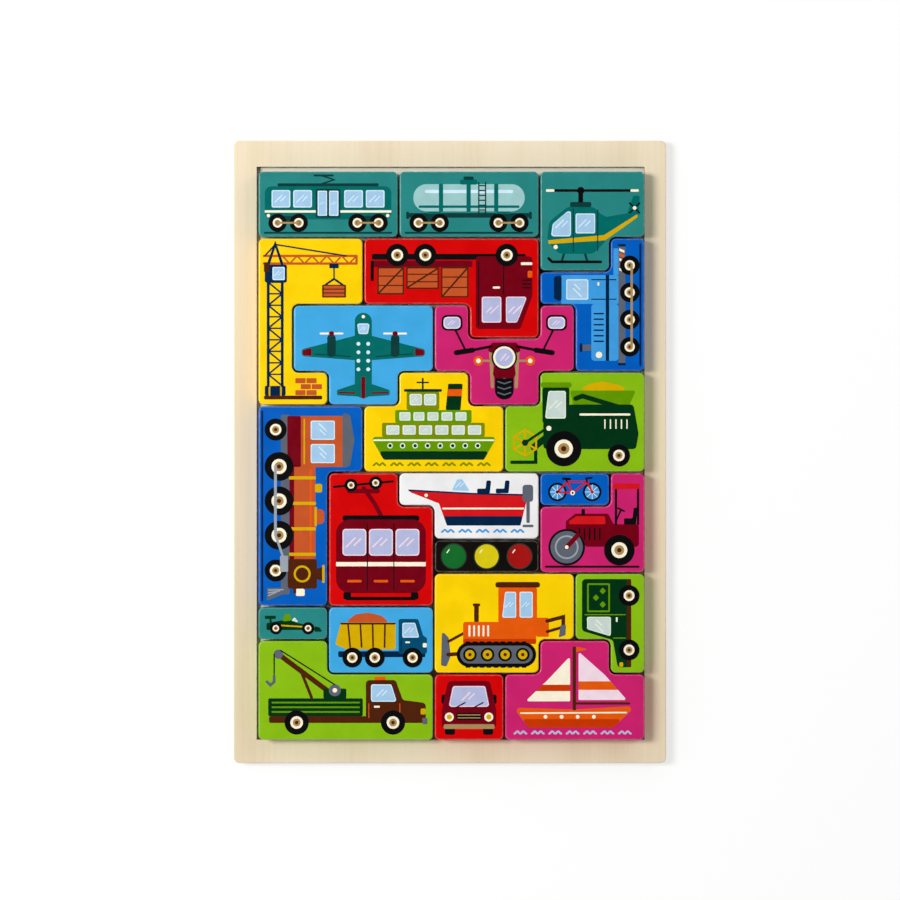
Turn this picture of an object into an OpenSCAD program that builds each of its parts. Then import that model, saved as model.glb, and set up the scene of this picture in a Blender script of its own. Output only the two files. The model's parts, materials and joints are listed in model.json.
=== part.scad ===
// Wooden block puzzle: painted blocks that fill a shallow plywood tray.
// Millimetres. The tray lies flat with its underside at z = 0 and its centre at the origin.
// +X runs across the tray, +Y runs from its foot to its head and +Z points up.

/* [Tray] */
// Width of the wood left of the window
left_rail = 11; // [6:0.1:20]
// Width of the wood right of the window
right_rail = 10.4; // [6:0.1:20]
// Width of the wood at the head of the window
head_rail = 12.5; // [6:0.1:20]
// Width of the wood at the foot of the window
foot_rail = 11.2; // [6:0.1:20]
// Thickness of the base board
base_t = 3; // [2:0.1:6]
// Thickness of the frame sheet that is glued onto the base board
frame_t = 3; // [2:0.1:10]
// Radius of the tray's corners, seen from above
tray_corner_r = 2.7; // [2:0.1:8]
// Radius of the window's corners, seen from above
window_corner_r = 0.5; // [0.3:0.1:3]
// Rounding of the tray's outer top and bottom edges
tray_edge_r = 0.6; // [0.2:0.1:1]

/* [Blocks] */
// Width of one grid cell, across the tray
cell_w = 16.6; // [12:0.1:30]
// Depth of one grid cell, along the tray
cell_d = 15.8; // [12:0.1:30]
// Thickness of the blocks
block_t = 11; // [8:0.1:20]
// Radius of the blocks' outside corners, seen from above
block_corner_r = 2.4; // [1.2:0.1:4]
// Rounding of the blocks' top and bottom edges
block_edge_r = 0.8; // [0.2:0.1:1]

/* [Clearances] */
// Gap between neighbouring blocks
block_gap = 0.8; // [0.4:0.1:1.5]
// Play between the grid and the window's left side
left_play = 0.9; // [0.1:0.1:3]
// Play between the grid and the window's right side
right_play = 0.1; // [0.1:0.1:3]
// Play between the grid and the window's foot
foot_play = 0.2; // [0.1:0.1:3]
// Space between the grid and the window's head, where a fingertip starts
head_play = 2.5; // [0.5:0.1:8]

/* [Hidden] */
$fn = 48;

// The grid that the blocks fill, in cells
grid_columns = 11;
grid_rows = 17;
grid_w = grid_columns * cell_w;
grid_d = grid_rows * cell_d;

// The window, the tray around it and their places, with the tray centred on the origin
window_w = left_play + grid_w + right_play;
window_d = foot_play + grid_d + head_play;
tray_w = left_rail + window_w + right_rail;
tray_d = foot_rail + window_d + head_rail;
window_left = -tray_w / 2 + left_rail;
window_foot = -tray_d / 2 + foot_rail;
grid_left = window_left + left_play;
grid_foot = window_foot + foot_play;

// An inside corner runs round its neighbour's outside corner, one gap away
block_inside_r = block_corner_r + block_gap;

// How far a cutter reaches past the face that it cuts, so that no skin is left
cut_over = 0.4;

// Wood and paint
pale_ply = "#ecdcbb";
base_ply = "#e4d3ae";
teal = "#2b8b87";
yellow = "#fbd102";
red = "#d60405";
royal_blue = "#035cc1";
sky_blue = "#3ca8e4";
magenta = "#c9276c";
lime = "#8bbd1c";
white = "#eceef0";
black = "#10140f";

// Outlines are lists of corners, counter-clockwise, whose sides run along X or Y.
// Direction from point a to point b
function heading(a, b) = (b - a) / norm(b - a);

// Direction d turned a quarter to the left, which points into an outline
function left_of(d) = [-d[1], d[0]];

// Compass angle of direction d
function angle_of(d) = atan2(d[1], d[0]);

// Directions in which the sides run into corner i and out of it
function heading_in(p, i) = heading(p[(i + len(p) - 1) % len(p)], p[i]);
function heading_out(p, i) = heading(p[i], p[(i + 1) % len(p)]);

// True at an outside corner, where the outline turns left
function is_outside(p, i) = cross(heading_in(p, i), heading_out(p, i)) > 0;

// The outline drawn in by a distance on every side
function drawn_in(p, by) =
    [for (i = [0 : len(p) - 1]) p[i] + by * (left_of(heading_in(p, i)) + left_of(heading_out(p, i)))];

// The arc that rounds corner i: its radius, where it starts and ends, and its centre
function radius_at(p, i, outside_r, inside_r) = is_outside(p, i) ? outside_r : inside_r;
function arc_start(p, i, r) = p[i] - r * heading_in(p, i);
function arc_end(p, i, r) = p[i] + r * heading_out(p, i);
function arc_centre(p, i, r) = p[i] + r * (heading_out(p, i) - heading_in(p, i));

// The outline with a square step through each arc's centre
function stepped(p, outside_r, inside_r) =
    [for (i = [0 : len(p) - 1])
        let (r = radius_at(p, i, outside_r, inside_r))
        each [arc_start(p, i, r), arc_centre(p, i, r), arc_end(p, i, r)]];

// Quarter disc between corner i's step and its arc
module quarter_disc(p, i, r) {
    intersection() {
        translate(arc_centre(p, i, r)) circle(r);
        polygon([arc_start(p, i, r), p[i], arc_end(p, i, r), arc_centre(p, i, r)]);
    }
}

// Flat outline with round corners
module rounded_outline(p, outside_r, inside_r) {
    difference() {
        union() {
            polygon(stepped(p, outside_r, inside_r));
            for (i = [0 : len(p) - 1]) if (is_outside(p, i)) quarter_disc(p, i, outside_r);
        }
        for (i = [0 : len(p) - 1]) if (!is_outside(p, i)) quarter_disc(p, i, inside_r);
    }
}

// Section of the wood that an edge loses: x runs out of the wall and y up from the face
module edge_waste(edge_r) {
    difference() {
        translate([-edge_r, -edge_r]) square(edge_r + cut_over);
        translate([-edge_r, -edge_r]) circle(edge_r);
    }
}

// Cutter along the straight side that leaves corner i
module side_cutter(p, i, outside_r, inside_r, edge_r) {
    j = (i + 1) % len(p);
    from = arc_end(p, i, radius_at(p, i, outside_r, inside_r));
    to = arc_start(p, j, radius_at(p, j, outside_r, inside_r));
    translate(from)
        rotate(angle_of(heading_out(p, i)))
            rotate([90, 0, 90])
                linear_extrude(norm(to - from)) mirror([1, 0]) edge_waste(edge_r);
}

// Cutter round corner i
module corner_cutter(p, i, outside_r, inside_r, edge_r) {
    r = radius_at(p, i, outside_r, inside_r);
    turn = angle_of(heading_in(p, i));
    translate(arc_centre(p, i, r)) {
        if (is_outside(p, i))
            rotate(turn - 90) rotate_extrude(angle = 90) translate([r, 0]) edge_waste(edge_r);
        else
            rotate(turn) rotate_extrude(angle = 90) translate([r, 0]) mirror([1, 0]) edge_waste(edge_r);
    }
}

// Cutters for a whole top edge, whose face lies at z = 0
module edge_cutters(p, outside_r, inside_r, edge_r) {
    for (i = [0 : len(p) - 1]) {
        side_cutter(p, i, outside_r, inside_r, edge_r);
        corner_cutter(p, i, outside_r, inside_r, edge_r);
    }
}

// Corners of a rectangle from its lower left corner and its size
function rectangle(corner, w, d) =
    [corner, corner + [w, 0], corner + [w, d], corner + [0, d]];

tray_outline = rectangle([-tray_w / 2, -tray_d / 2], tray_w, tray_d);
window_outline = rectangle([window_left, window_foot], window_w, window_d);

// Thin board under the window, with its lower edge rounded
module tray_base() {
    color(base_ply)
        difference() {
            linear_extrude(base_t) rounded_outline(tray_outline, tray_corner_r, tray_corner_r);
            mirror([0, 0, 1]) edge_cutters(tray_outline, tray_corner_r, tray_corner_r, tray_edge_r);
        }
}

// One sheet with the window cut through it and its outer top edge rounded
module tray_frame() {
    color(pale_ply)
        translate([0, 0, base_t])
            difference() {
                linear_extrude(frame_t)
                    difference() {
                        rounded_outline(tray_outline, tray_corner_r, tray_corner_r);
                        rounded_outline(window_outline, window_corner_r, window_corner_r);
                    }
                translate([0, 0, frame_t])
                    edge_cutters(tray_outline, tray_corner_r, tray_corner_r, tray_edge_r);
            }
}

// One block on the base board, from its paint and its corners in grid cells
module puzzle_block(paint, cells) {
    on_grid = [for (c = cells) [grid_left + c[0] * cell_w, grid_foot + c[1] * cell_d]];
    p = drawn_in(on_grid, block_gap / 2);
    color(paint)
        translate([0, 0, base_t])
            difference() {
                linear_extrude(block_t) rounded_outline(p, block_corner_r, block_inside_r);
                translate([0, 0, block_t]) edge_cutters(p, block_corner_r, block_inside_r, block_edge_r);
                mirror([0, 0, 1]) edge_cutters(p, block_corner_r, block_inside_r, block_edge_r);
            }
}

// Blocks at the head of the tray
module tram_block() { puzzle_block(teal, [[0, 15], [4, 15], [4, 17], [0, 17]]); }
module tank_wagon_block() { puzzle_block(teal, [[4, 15], [8, 15], [8, 17], [4, 17]]); }
module helicopter_block() { puzzle_block(teal, [[8, 14], [10, 14], [10, 15], [11, 15], [11, 17], [8, 17]]); }
module crane_block() {
    puzzle_block(yellow, [[0, 10], [2, 10], [2, 11], [1, 11], [1, 13], [3, 13], [3, 15], [0, 15]]);
}
module lorry_block() { puzzle_block(red, [[6, 12], [8, 12], [8, 15], [3, 15], [3, 13], [6, 13]]); }
module shunter_block() {
    puzzle_block(royal_blue, [[9, 11], [11, 11], [11, 15], [10, 15], [10, 14], [8, 14], [8, 13], [9, 13]]);
}

// Blocks across the middle
module plane_block() {
    puzzle_block(sky_blue, [[2, 10], [4, 10], [4, 11], [5, 11], [5, 13], [1, 13], [1, 11], [2, 11]]);
}
module motorbike_block() {
    puzzle_block(magenta, [
        [6, 10], [8, 10], [8, 11], [9, 11], [9, 13], [8, 13],
        [8, 12], [6, 12], [6, 13], [5, 13], [5, 11], [6, 11]
    ]);
}
module ferry_block() {
    puzzle_block(yellow, [[3, 8], [7, 8], [7, 10], [6, 10], [6, 11], [4, 11], [4, 10], [3, 10]]);
}
module harvester_block() { puzzle_block(lime, [[7, 8], [11, 8], [11, 11], [8, 11], [8, 10], [7, 10]]); }
module locomotive_block() { puzzle_block(royal_blue, [[0, 4], [2, 4], [2, 8], [3, 8], [3, 10], [0, 10]]); }
module cable_car_block() { puzzle_block(red, [[2, 4], [5, 4], [5, 7], [4, 7], [4, 8], [2, 8]]); }
module speedboat_block() { puzzle_block(white, [[5, 6], [8, 6], [8, 8], [4, 8], [4, 7], [5, 7]]); }
module bicycle_block() { puzzle_block(royal_blue, [[8, 7], [10, 7], [10, 8], [8, 8]]); }
module road_roller_block() { puzzle_block(magenta, [[8, 5], [11, 5], [11, 8], [10, 8], [10, 7], [8, 7]]); }

// Blocks at the foot
module traffic_light_block() { puzzle_block(black, [[5, 5], [8, 5], [8, 6], [5, 6]]); }
module bulldozer_block() { puzzle_block(yellow, [[5, 2], [8, 2], [8, 3], [9, 3], [9, 5], [5, 5]]); }
module delivery_van_block() { puzzle_block(lime, [[10, 2], [11, 2], [11, 5], [9, 5], [9, 3], [10, 3]]); }
module racer_block() { puzzle_block(teal, [[0, 3], [2, 3], [2, 4], [0, 4]]); }
module dump_truck_block() { puzzle_block(sky_blue, [[2, 2], [5, 2], [5, 4], [2, 4]]); }
module tow_truck_block() { puzzle_block(lime, [[0, 0], [5, 0], [5, 2], [2, 2], [2, 3], [0, 3]]); }
module van_front_block() { puzzle_block(red, [[5, 0], [7, 0], [7, 2], [5, 2]]); }
module sailing_boat_block() {
    puzzle_block(magenta, [[7, 0], [11, 0], [11, 2], [10, 2], [10, 3], [8, 3], [8, 2], [7, 2]]);
}

tray_base();
tray_frame();
tram_block();
tank_wagon_block();
helicopter_block();
crane_block();
lorry_block();
shunter_block();
plane_block();
motorbike_block();
ferry_block();
harvester_block();
locomotive_block();
cable_car_block();
speedboat_block();
bicycle_block();
road_roller_block();
traffic_light_block();
bulldozer_block();
delivery_van_block();
racer_block();
dump_truck_block();
tow_truck_block();
van_front_block();
sailing_boat_block();
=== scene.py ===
"""A painted block puzzle in its plywood tray: looks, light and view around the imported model."""

import json
import math

import bpy
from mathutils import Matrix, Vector


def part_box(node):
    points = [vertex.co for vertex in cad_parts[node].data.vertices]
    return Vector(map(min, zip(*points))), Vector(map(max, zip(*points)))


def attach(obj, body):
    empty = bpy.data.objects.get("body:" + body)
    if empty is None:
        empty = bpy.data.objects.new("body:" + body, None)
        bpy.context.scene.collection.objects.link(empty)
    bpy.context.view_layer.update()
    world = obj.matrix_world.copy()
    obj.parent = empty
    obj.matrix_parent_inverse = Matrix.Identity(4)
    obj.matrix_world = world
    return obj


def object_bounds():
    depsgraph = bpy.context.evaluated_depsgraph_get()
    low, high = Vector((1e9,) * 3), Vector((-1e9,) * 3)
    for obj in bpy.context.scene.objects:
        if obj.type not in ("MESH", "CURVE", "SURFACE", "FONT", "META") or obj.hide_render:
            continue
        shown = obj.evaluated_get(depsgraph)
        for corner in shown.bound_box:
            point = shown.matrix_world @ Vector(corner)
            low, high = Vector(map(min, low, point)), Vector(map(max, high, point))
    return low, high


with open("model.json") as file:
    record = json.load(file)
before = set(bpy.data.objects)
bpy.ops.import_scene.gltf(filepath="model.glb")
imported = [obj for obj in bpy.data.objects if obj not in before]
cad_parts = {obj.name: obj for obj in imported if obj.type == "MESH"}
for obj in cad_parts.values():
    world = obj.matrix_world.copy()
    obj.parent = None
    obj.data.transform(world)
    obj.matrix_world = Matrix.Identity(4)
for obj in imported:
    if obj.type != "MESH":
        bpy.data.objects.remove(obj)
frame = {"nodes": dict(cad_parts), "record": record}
cad_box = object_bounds()

# View: the photograph looks straight down on the tray from far away, with the tray's head at the top.
# The camera stands where the tray's outline fills the same pixels of the square picture.
picture_px = 900
tray_left_px, tray_right_px = 233.45, 666.4
tray_head_px, tray_foot_px = 140.75, 762.95
lens_mm = 114
sensor_mm = 36
frame_low, frame_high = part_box("tray_frame")
tray_size = frame_high - frame_low
tray_px = tray_right_px - tray_left_px + tray_foot_px - tray_head_px
metres_per_px = (tray_size.x + tray_size.y) / tray_px
beside_px = (picture_px - tray_left_px - tray_right_px) / 2
beyond_px = (tray_head_px + tray_foot_px - picture_px) / 2
camera_height = frame_high.z + picture_px * metres_per_px * lens_mm / sensor_mm
camera_data = bpy.data.cameras.new("camera")
camera_data.lens = lens_mm
camera_data.sensor_width = sensor_mm
camera = bpy.data.objects.new("camera", camera_data)
camera.location = (beside_px * metres_per_px, beyond_px * metres_per_px, camera_height)
scene = bpy.context.scene
scene.collection.objects.link(camera)
scene.camera = camera
scene.view_settings.view_transform = "Standard"


# Studio: a white floor under the tray and a white room with a dark ceiling behind the camera.
# A tall lamp high on the left casts the blocks' shadows, and a weaker one on the right softens them.
def add_node(tree, kind, inputs, **settings):
    """Adds a shader node; inputs, by name or number, are values to set or outlets to link."""
    made = tree.nodes.new("ShaderNode" + kind)
    for name, value in settings.items():
        setattr(made, name, value)
    for socket, value in inputs.items():
        if isinstance(value, bpy.types.NodeSocket):
            tree.links.new(value, made.inputs[socket])
        else:
            made.inputs[socket].default_value = value
    return made


def calc(tree, operation, *terms, clamp=False):
    """The outlet of a Math node on one to three values or outlets."""
    return add_node(tree, "Math", dict(enumerate(terms)), operation=operation, use_clamp=clamp).outputs[0]


def ramp(tree, value, low, high, to_low=0.0, to_high=1.0):
    """The outlet of a smooth step from to_low to to_high, as value goes from low to high."""
    inputs = {"Value": value, 1: low, 2: high, 3: to_low, 4: to_high}
    return add_node(tree, "MapRange", inputs, interpolation_type="SMOOTHSTEP").outputs[0]


def new_material(name):
    """A material with nothing in it but its output, and that output's surface socket."""
    material = bpy.data.materials.new(name)
    material.use_nodes = True
    material.node_tree.nodes.clear()
    output = material.node_tree.nodes.new("ShaderNodeOutputMaterial")
    return material, material.node_tree, output.inputs["Surface"]


floor_reach = 6.0
floor_white = 0.40
floor_glow = 0.62
floor_z = cad_box[0][2]
corner_signs = ((-1, -1), (1, -1), (1, 1), (-1, 1))
floor_corners = [(x * floor_reach, y * floor_reach, floor_z) for x, y in corner_signs]
floor_mesh = bpy.data.meshes.new("floor")
floor_mesh.from_pydata(floor_corners, [], [(0, 1, 2, 3)])
floor = bpy.data.objects.new("floor", floor_mesh)
scene.collection.objects.link(floor)
floor_material, tree, surface = new_material("floor_white")
ray = tree.nodes.new("ShaderNodeLightPath").outputs
mirrored = calc(tree, "MAXIMUM", ray["Is Glossy Ray"], ray["Is Transmission Ray"])
seen = calc(tree, "MAXIMUM", ray["Is Camera Ray"], mirrored)
floor_shader = add_node(
    tree,
    "BsdfPrincipled",
    {
        "Base Color": (floor_white, floor_white, floor_white, 1),
        "Roughness": 1.0,
        "Specular IOR Level": 0.0,
        "Emission Color": (1, 1, 1, 1),
        "Emission Strength": calc(tree, "MULTIPLY", seen, floor_glow),
    },
)
tree.links.new(floor_shader.outputs[0], surface)
floor_mesh.materials.append(floor_material)

ceiling_starts, ceiling_full = 0.45, 0.75
ceiling_level = 0.04
room = bpy.data.worlds.new("white_room")
room.use_nodes = True
room_tree = room.node_tree
look = add_node(room_tree, "TexCoord", {}).outputs["Generated"]
height = add_node(room_tree, "SeparateXYZ", {0: look}).outputs["Z"]
room_light = ramp(room_tree, height, ceiling_starts, ceiling_full, 1.0, ceiling_level)
room_tree.links.new(room_light, room_tree.nodes["Background"].inputs["Strength"])
room_tree.nodes["Background"].inputs["Color"].default_value = (1, 1, 1, 1)
scene.world = room


def hang_lamp(name, place, wide, tall, level):
    """A flat lamp that lights the tray's middle at a level, where 1 in all shows a colour as written."""
    place = Vector(place)
    data = bpy.data.lights.new(name, "AREA")
    data.shape = "RECTANGLE"
    data.size = wide
    data.size_y = tall
    data.energy = level * math.pi**2 * place.length**3 / place.z
    lamp = bpy.data.objects.new(name, data)
    lamp.location = place
    lamp.rotation_euler = place.to_track_quat("Z", "Y").to_euler()
    scene.collection.objects.link(lamp)


hang_lamp("left_lamp", place=(-0.9, 0.2, 1.25), wide=0.4, tall=0.56, level=0.59)
hang_lamp("right_lamp", place=(0.85, 0.5, 0.75), wide=0.3, tall=0.6, level=0.07)


# Tray: one sheet of pale plywood with a window cut through it, glued onto a thin plywood base board.
# Both are sanded and bare, with the grain along the tray; the cut has scorched the window's edge brown.
# The upper sheet's colour carries a painted shade that darkens it towards the tray's foot, where the light
# falls off.
def srgb(code):
    """A colour for a shader socket from its six-digit screen code."""
    parts = [int(code[i : i + 2], 16) / 255 for i in (0, 2, 4)]
    return tuple(c / 12.92 if c <= 0.04045 else ((c + 0.055) / 1.055) ** 2.4 for c in parts) + (1.0,)


def tint(tree, factor, first, second, blend_type="MIX"):
    """The outlet of a colour mix of first and second."""
    inputs = {0: factor, 6: first, 7: second}
    return add_node(tree, "Mix", inputs, data_type="RGBA", blend_type=blend_type).outputs[2]


def noise(tree, place, scale, detail=2.0):
    """The outlet of a noise that changes scale times a metre, or along each axis by its own scale."""
    spread = add_node(tree, "VectorMath", {0: place, 1: scale}, operation="MULTIPLY").outputs[0]
    return add_node(tree, "TexNoise", {"Vector": spread, "Scale": 1.0, "Detail": detail}).outputs[0]


def start_group(name, inputs):
    """A node group that takes inputs and gives a colour, a roughness and a bump height."""
    group = bpy.data.node_groups.new(name, "ShaderNodeTree")
    for label, value in inputs.items():
        kind = "NodeSocketColor" if isinstance(value, tuple) else "NodeSocketFloat"
        group.interface.new_socket(label, in_out="INPUT", socket_type=kind).default_value = value
    group.interface.new_socket("Colour", in_out="OUTPUT", socket_type="NodeSocketColor")
    group.interface.new_socket("Roughness", in_out="OUTPUT", socket_type="NodeSocketFloat")
    group.interface.new_socket("Height", in_out="OUTPUT", socket_type="NodeSocketFloat")
    return group, group.nodes.new("NodeGroupInput").outputs, group.nodes.new("NodeGroupOutput").inputs


def finish_group(group, into, colour, roughness, height):
    """Links a group's three results."""
    group.links.new(colour, into["Colour"])
    group.links.new(roughness, into["Roughness"])
    group.links.new(height, into["Height"])


def place_group(tree, group, inputs):
    """The outlets of a node group placed in a material with its own values."""
    made = tree.nodes.new("ShaderNodeGroup")
    made.node_tree = group
    for label, value in inputs.items():
        made.inputs[label].default_value = value
    return made.outputs


def coat_surface(tree, surface, film, bump_depth, shine, colour=None):
    """A Principled shader from a group's outlets, with a bump bump_depth metres deep, on the surface."""
    bump = add_node(tree, "Bump", {"Height": film["Height"], "Distance": bump_depth})
    shader = add_node(
        tree,
        "BsdfPrincipled",
        {
            "Base Color": film["Colour"] if colour is None else colour,
            "Roughness": film["Roughness"],
            "Specular IOR Level": shine,
            "Normal": bump.outputs[0],
        },
    )
    tree.links.new(shader.outputs[0], surface)


ply_sheet, taken, given = start_group(
    "sanded_ply",
    {"Wood": srgb("f4e4c7"), "Streak": srgb("dfc89f"), "Cut From": 0.0, "Sheet Bottom": 0.0, "Ply": 0.001},
)
spot = add_node(ply_sheet, "TexCoord", {}).outputs
shift = {0: spot["Object"], 1: taken["Cut From"]}
log_spot = add_node(ply_sheet, "VectorMath", shift, operation="ADD").outputs[0]
drift = noise(ply_sheet, log_spot, scale=(22, 4, 22), detail=1.0)
broad = noise(ply_sheet, log_spot, scale=(90, 3, 90), detail=1.0)
fine = noise(ply_sheet, log_spot, scale=(900, 14, 900), detail=3.0)
pores = noise(ply_sheet, log_spot, scale=(1500, 300, 900), detail=1.0)
fleck = ramp(ply_sheet, pores, low=0.64, high=0.74, to_high=0.4)
drift_share, broad_share, fine_share, fleck_share = 0.45, 0.2, 0.16, 0.12
figure = calc(ply_sheet, "MULTIPLY_ADD", drift, drift_share, calc(ply_sheet, "MULTIPLY", broad, broad_share))
figure = calc(ply_sheet, "MULTIPLY_ADD", fine, fine_share, figure)
streak = ramp(ply_sheet, figure, low=0.30, high=0.58, to_high=0.6)
face = tint(ply_sheet, streak, taken["Wood"], taken["Streak"])
face = tint(ply_sheet, calc(ply_sheet, "MULTIPLY", fleck, fleck_share), face, srgb("b08f5c"))
depth = add_node(ply_sheet, "SeparateXYZ", {0: spot["Object"]}).outputs["Z"]
layer = calc(ply_sheet, "DIVIDE", calc(ply_sheet, "SUBTRACT", depth, taken["Sheet Bottom"]), taken["Ply"])
cross = calc(ply_sheet, "GREATER_THAN", calc(ply_sheet, "MODULO", layer, 2.0), 1.0)
half_ply = 0.5
seam = calc(ply_sheet, "ABSOLUTE", calc(ply_sheet, "SUBTRACT", calc(ply_sheet, "FRACT", layer), half_ply))
fibre = noise(ply_sheet, spot["Object"], scale=(1400, 1400, 500))
end_grain = tint(ply_sheet, fibre, srgb("b9986a"), srgb("d8bd8d"))
edge = tint(ply_sheet, cross, face, end_grain)
glue_line = ramp(ply_sheet, seam, low=0.44, high=half_ply, to_high=0.55)
edge = tint(ply_sheet, glue_line, edge, srgb("8a6a42"))
facing = add_node(ply_sheet, "SeparateXYZ", {0: spot["Normal"]}).outputs["Z"]
on_edge = ramp(ply_sheet, calc(ply_sheet, "ABSOLUTE", facing), low=0.2, high=0.75, to_low=1.0, to_high=0.0)
finish_group(
    ply_sheet,
    given,
    tint(ply_sheet, on_edge, face, edge),
    ramp(ply_sheet, fine, low=0.2, high=0.8, to_low=0.55, to_high=0.72),
    calc(ply_sheet, "SUBTRACT", fine, fleck),
)
ply_relief = 0.00004
bare_wood_shine = 0.25
base_material, tree, surface = new_material("base_board_wood")
base_wood = place_group(tree, ply_sheet, {"Wood": srgb("fbf3e2"), "Streak": srgb("efe2c6")})
coat_surface(tree, surface, base_wood, ply_relief, bare_wood_shine)
frame["nodes"]["tray_base"].material_slots[0].material = base_material

left_rail, right_rail = 0.0110, 0.0104
head_rail, foot_rail = 0.0125, 0.0112
window_half_w = (tray_size.x - left_rail - right_rail) / 2
window_half_d = (tray_size.y - head_rail - foot_rail) / 2
window_centre_x = (left_rail - right_rail) / 2
window_centre_y = (foot_rail - head_rail) / 2
scorch_reach = 0.0004
frame_material, tree, surface = new_material("frame_sheet_wood")
frame_wood = place_group(tree, ply_sheet, {"Cut From": 0.07, "Sheet Bottom": frame_low.z})
spot = add_node(tree, "TexCoord", {}).outputs["Object"]
across = add_node(tree, "SeparateXYZ", {0: spot}).outputs
from_middle_x = calc(tree, "ABSOLUTE", calc(tree, "SUBTRACT", across["X"], window_centre_x))
from_middle_y = calc(tree, "ABSOLUTE", calc(tree, "SUBTRACT", across["Y"], window_centre_y))
past_side = calc(tree, "SUBTRACT", from_middle_x, window_half_w)
past_window = calc(tree, "MAXIMUM", past_side, calc(tree, "SUBTRACT", from_middle_y, window_half_d))
ragged = calc(tree, "MULTIPLY", noise(tree, spot, scale=(700, 700, 700)), scorch_reach)
scorch = ramp(tree, past_window, low=0.0, high=ragged, to_low=0.92, to_high=0.0)
# Painted shade: the sheet's colour is darkened by up to 6.5 percent towards the tray's foot, standing in for
# the light's falloff there.
foot_painted_shade = ramp(tree, across["Y"], low=-tray_size.y / 2, high=0.0, to_low=0.935, to_high=1.0)
sheet_colour_with_painted_shade = tint(tree, 1.0, frame_wood["Colour"], foot_painted_shade, "MULTIPLY")
scorched = tint(tree, scorch, sheet_colour_with_painted_shade, srgb("4e2e16"))
coat_surface(tree, surface, frame_wood, ply_relief, bare_wood_shine, scorched)
frame["nodes"]["tray_frame"].material_slots[0].material = frame_material

# Tram and tank wagon: two flat wooden blocks side by side at the tray's head, sanded round all edges.
# Like every block they lie loose on the base board and are sprayed in one satin colour on top and sides,
# bare below; the pictures are printed on the tops in opaque inks, one thin film over the other.
spray_paint, taken, given = start_group("spray_paint", {"Paint": (0.5, 0.5, 0.5, 1.0)})
spot = add_node(spray_paint, "TexCoord", {}).outputs
facing = add_node(spray_paint, "SeparateXYZ", {0: spot["Normal"]}).outputs["Z"]
cloud = noise(spray_paint, spot["Object"], scale=(70, 70, 70), detail=3.0)
shade = ramp(spray_paint, cloud, low=0.3, high=0.7, to_low=0.94, to_high=1.04)
coat = tint(spray_paint, 1.0, taken["Paint"], shade, "MULTIPLY")
# The rounded shoulder along each block's top edge is tinted paler: partly paint rubbed thin there, partly a
# painted highlight where the edge catches the light.
off_side = ramp(spray_paint, facing, low=0.35, high=0.8)
off_top = ramp(spray_paint, facing, low=0.9, high=1.0, to_low=1.0, to_high=0.0)
shoulder = calc(spray_paint, "MULTIPLY", off_side, off_top)
rub_and_highlight_noise = noise(spray_paint, spot["Object"], scale=(420, 420, 420), detail=3.0)
rim_wear_and_painted_highlight = ramp(spray_paint, rub_and_highlight_noise, low=0.3, high=0.7, to_low=0.02, to_high=0.11)
coat = tint(spray_paint, calc(spray_paint, "MULTIPLY", shoulder, rim_wear_and_painted_highlight), coat, srgb("f6efe2"))
grain = noise(spray_paint, spot["Object"], scale=(60, 1100, 60), detail=3.0)
grain_share = 0.5
bare = tint(spray_paint, grain, srgb("c9a876"), srgb("efdcb6"))
below = ramp(spray_paint, facing, low=-0.9, high=-0.6, to_low=1.0, to_high=0.0)
mist = noise(spray_paint, spot["Object"], scale=(2400, 2400, 2400))
finish_group(
    spray_paint,
    given,
    tint(spray_paint, below, coat, bare),
    ramp(spray_paint, cloud, low=0.25, high=0.75, to_low=0.19, to_high=0.26),
    calc(spray_paint, "ADD", mist, calc(spray_paint, "MULTIPLY", grain, grain_share)),
)

print_ink, taken, given = start_group("print_ink", {"Ink": (0.5, 0.5, 0.5, 1.0)})
spot = add_node(print_ink, "TexCoord", {}).outputs["Object"]
grit = noise(print_ink, spot, scale=(3000, 3000, 3000))
patch = noise(print_ink, spot, scale=(240, 240, 240))
cover = calc(print_ink, "ADD", grit, patch)
density = ramp(print_ink, cover, low=0.6, high=1.4, to_low=0.92, to_high=1.05)
finish_group(
    print_ink,
    given,
    tint(print_ink, 1.0, taken["Ink"], density, "MULTIPLY"),
    ramp(print_ink, patch, low=0.3, high=0.7, to_low=0.18, to_high=0.24),
    grit,
)
paint_relief, ink_relief = 0.00002, 0.000008
satin_shine = 0.25


def block_finish(name, group, label, code, relief):
    """A material with one colour in one of the two block groups."""
    material, tree, surface = new_material(name)
    coat_surface(tree, surface, place_group(tree, group, {label: srgb(code)}), relief, satin_shine)
    return material


def spray(name, code):
    """A block's paint."""
    return block_finish("paint_" + name, spray_paint, "Paint", code, paint_relief)


def ink(name, code):
    """A printing ink."""
    return block_finish("ink_" + name, print_ink, "Ink", code, ink_relief)


def arc(centre, radius, start, sweep, steps=None):
    """Points on an arc, close enough together to look round where no number of steps is given."""
    sagitta = 0.008
    fewest_steps = 2
    if steps is None:
        widest_step = 2 * math.acos(max(0.0, 1 - sagitta / max(radius, sagitta)))
        steps = max(fewest_steps, math.ceil(abs(sweep) / widest_step))
    angles = [start + sweep * i / steps for i in range(steps + 1)]
    return [centre + radius * Vector((math.cos(a), math.sin(a))) for a in angles]


def rounded(corners, radius):
    """An outline with its corners rounded, and less where a side is short."""
    least_bend = 0.02
    corners = [Vector(c) for c in corners]
    points = []
    for i, corner in enumerate(corners):
        back = corners[i - 1] - corner
        ahead = corners[(i + 1) % len(corners)] - corner
        half_angle = back.angle(ahead) / 2
        reach = min(radius / math.tan(half_angle), back.length / 2, ahead.length / 2)
        bend = reach * math.tan(half_angle)
        if bend < least_bend:
            points.append(corner)
            continue
        middle = (back.normalized() + ahead.normalized()).normalized()
        centre = corner + middle * bend / math.sin(half_angle)
        start = corner + back.normalized() * reach - centre
        sweep = math.copysign(math.pi - 2 * half_angle, ahead.cross(back))
        points += arc(centre, bend, math.atan2(start.y, start.x), sweep)
    return points


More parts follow.
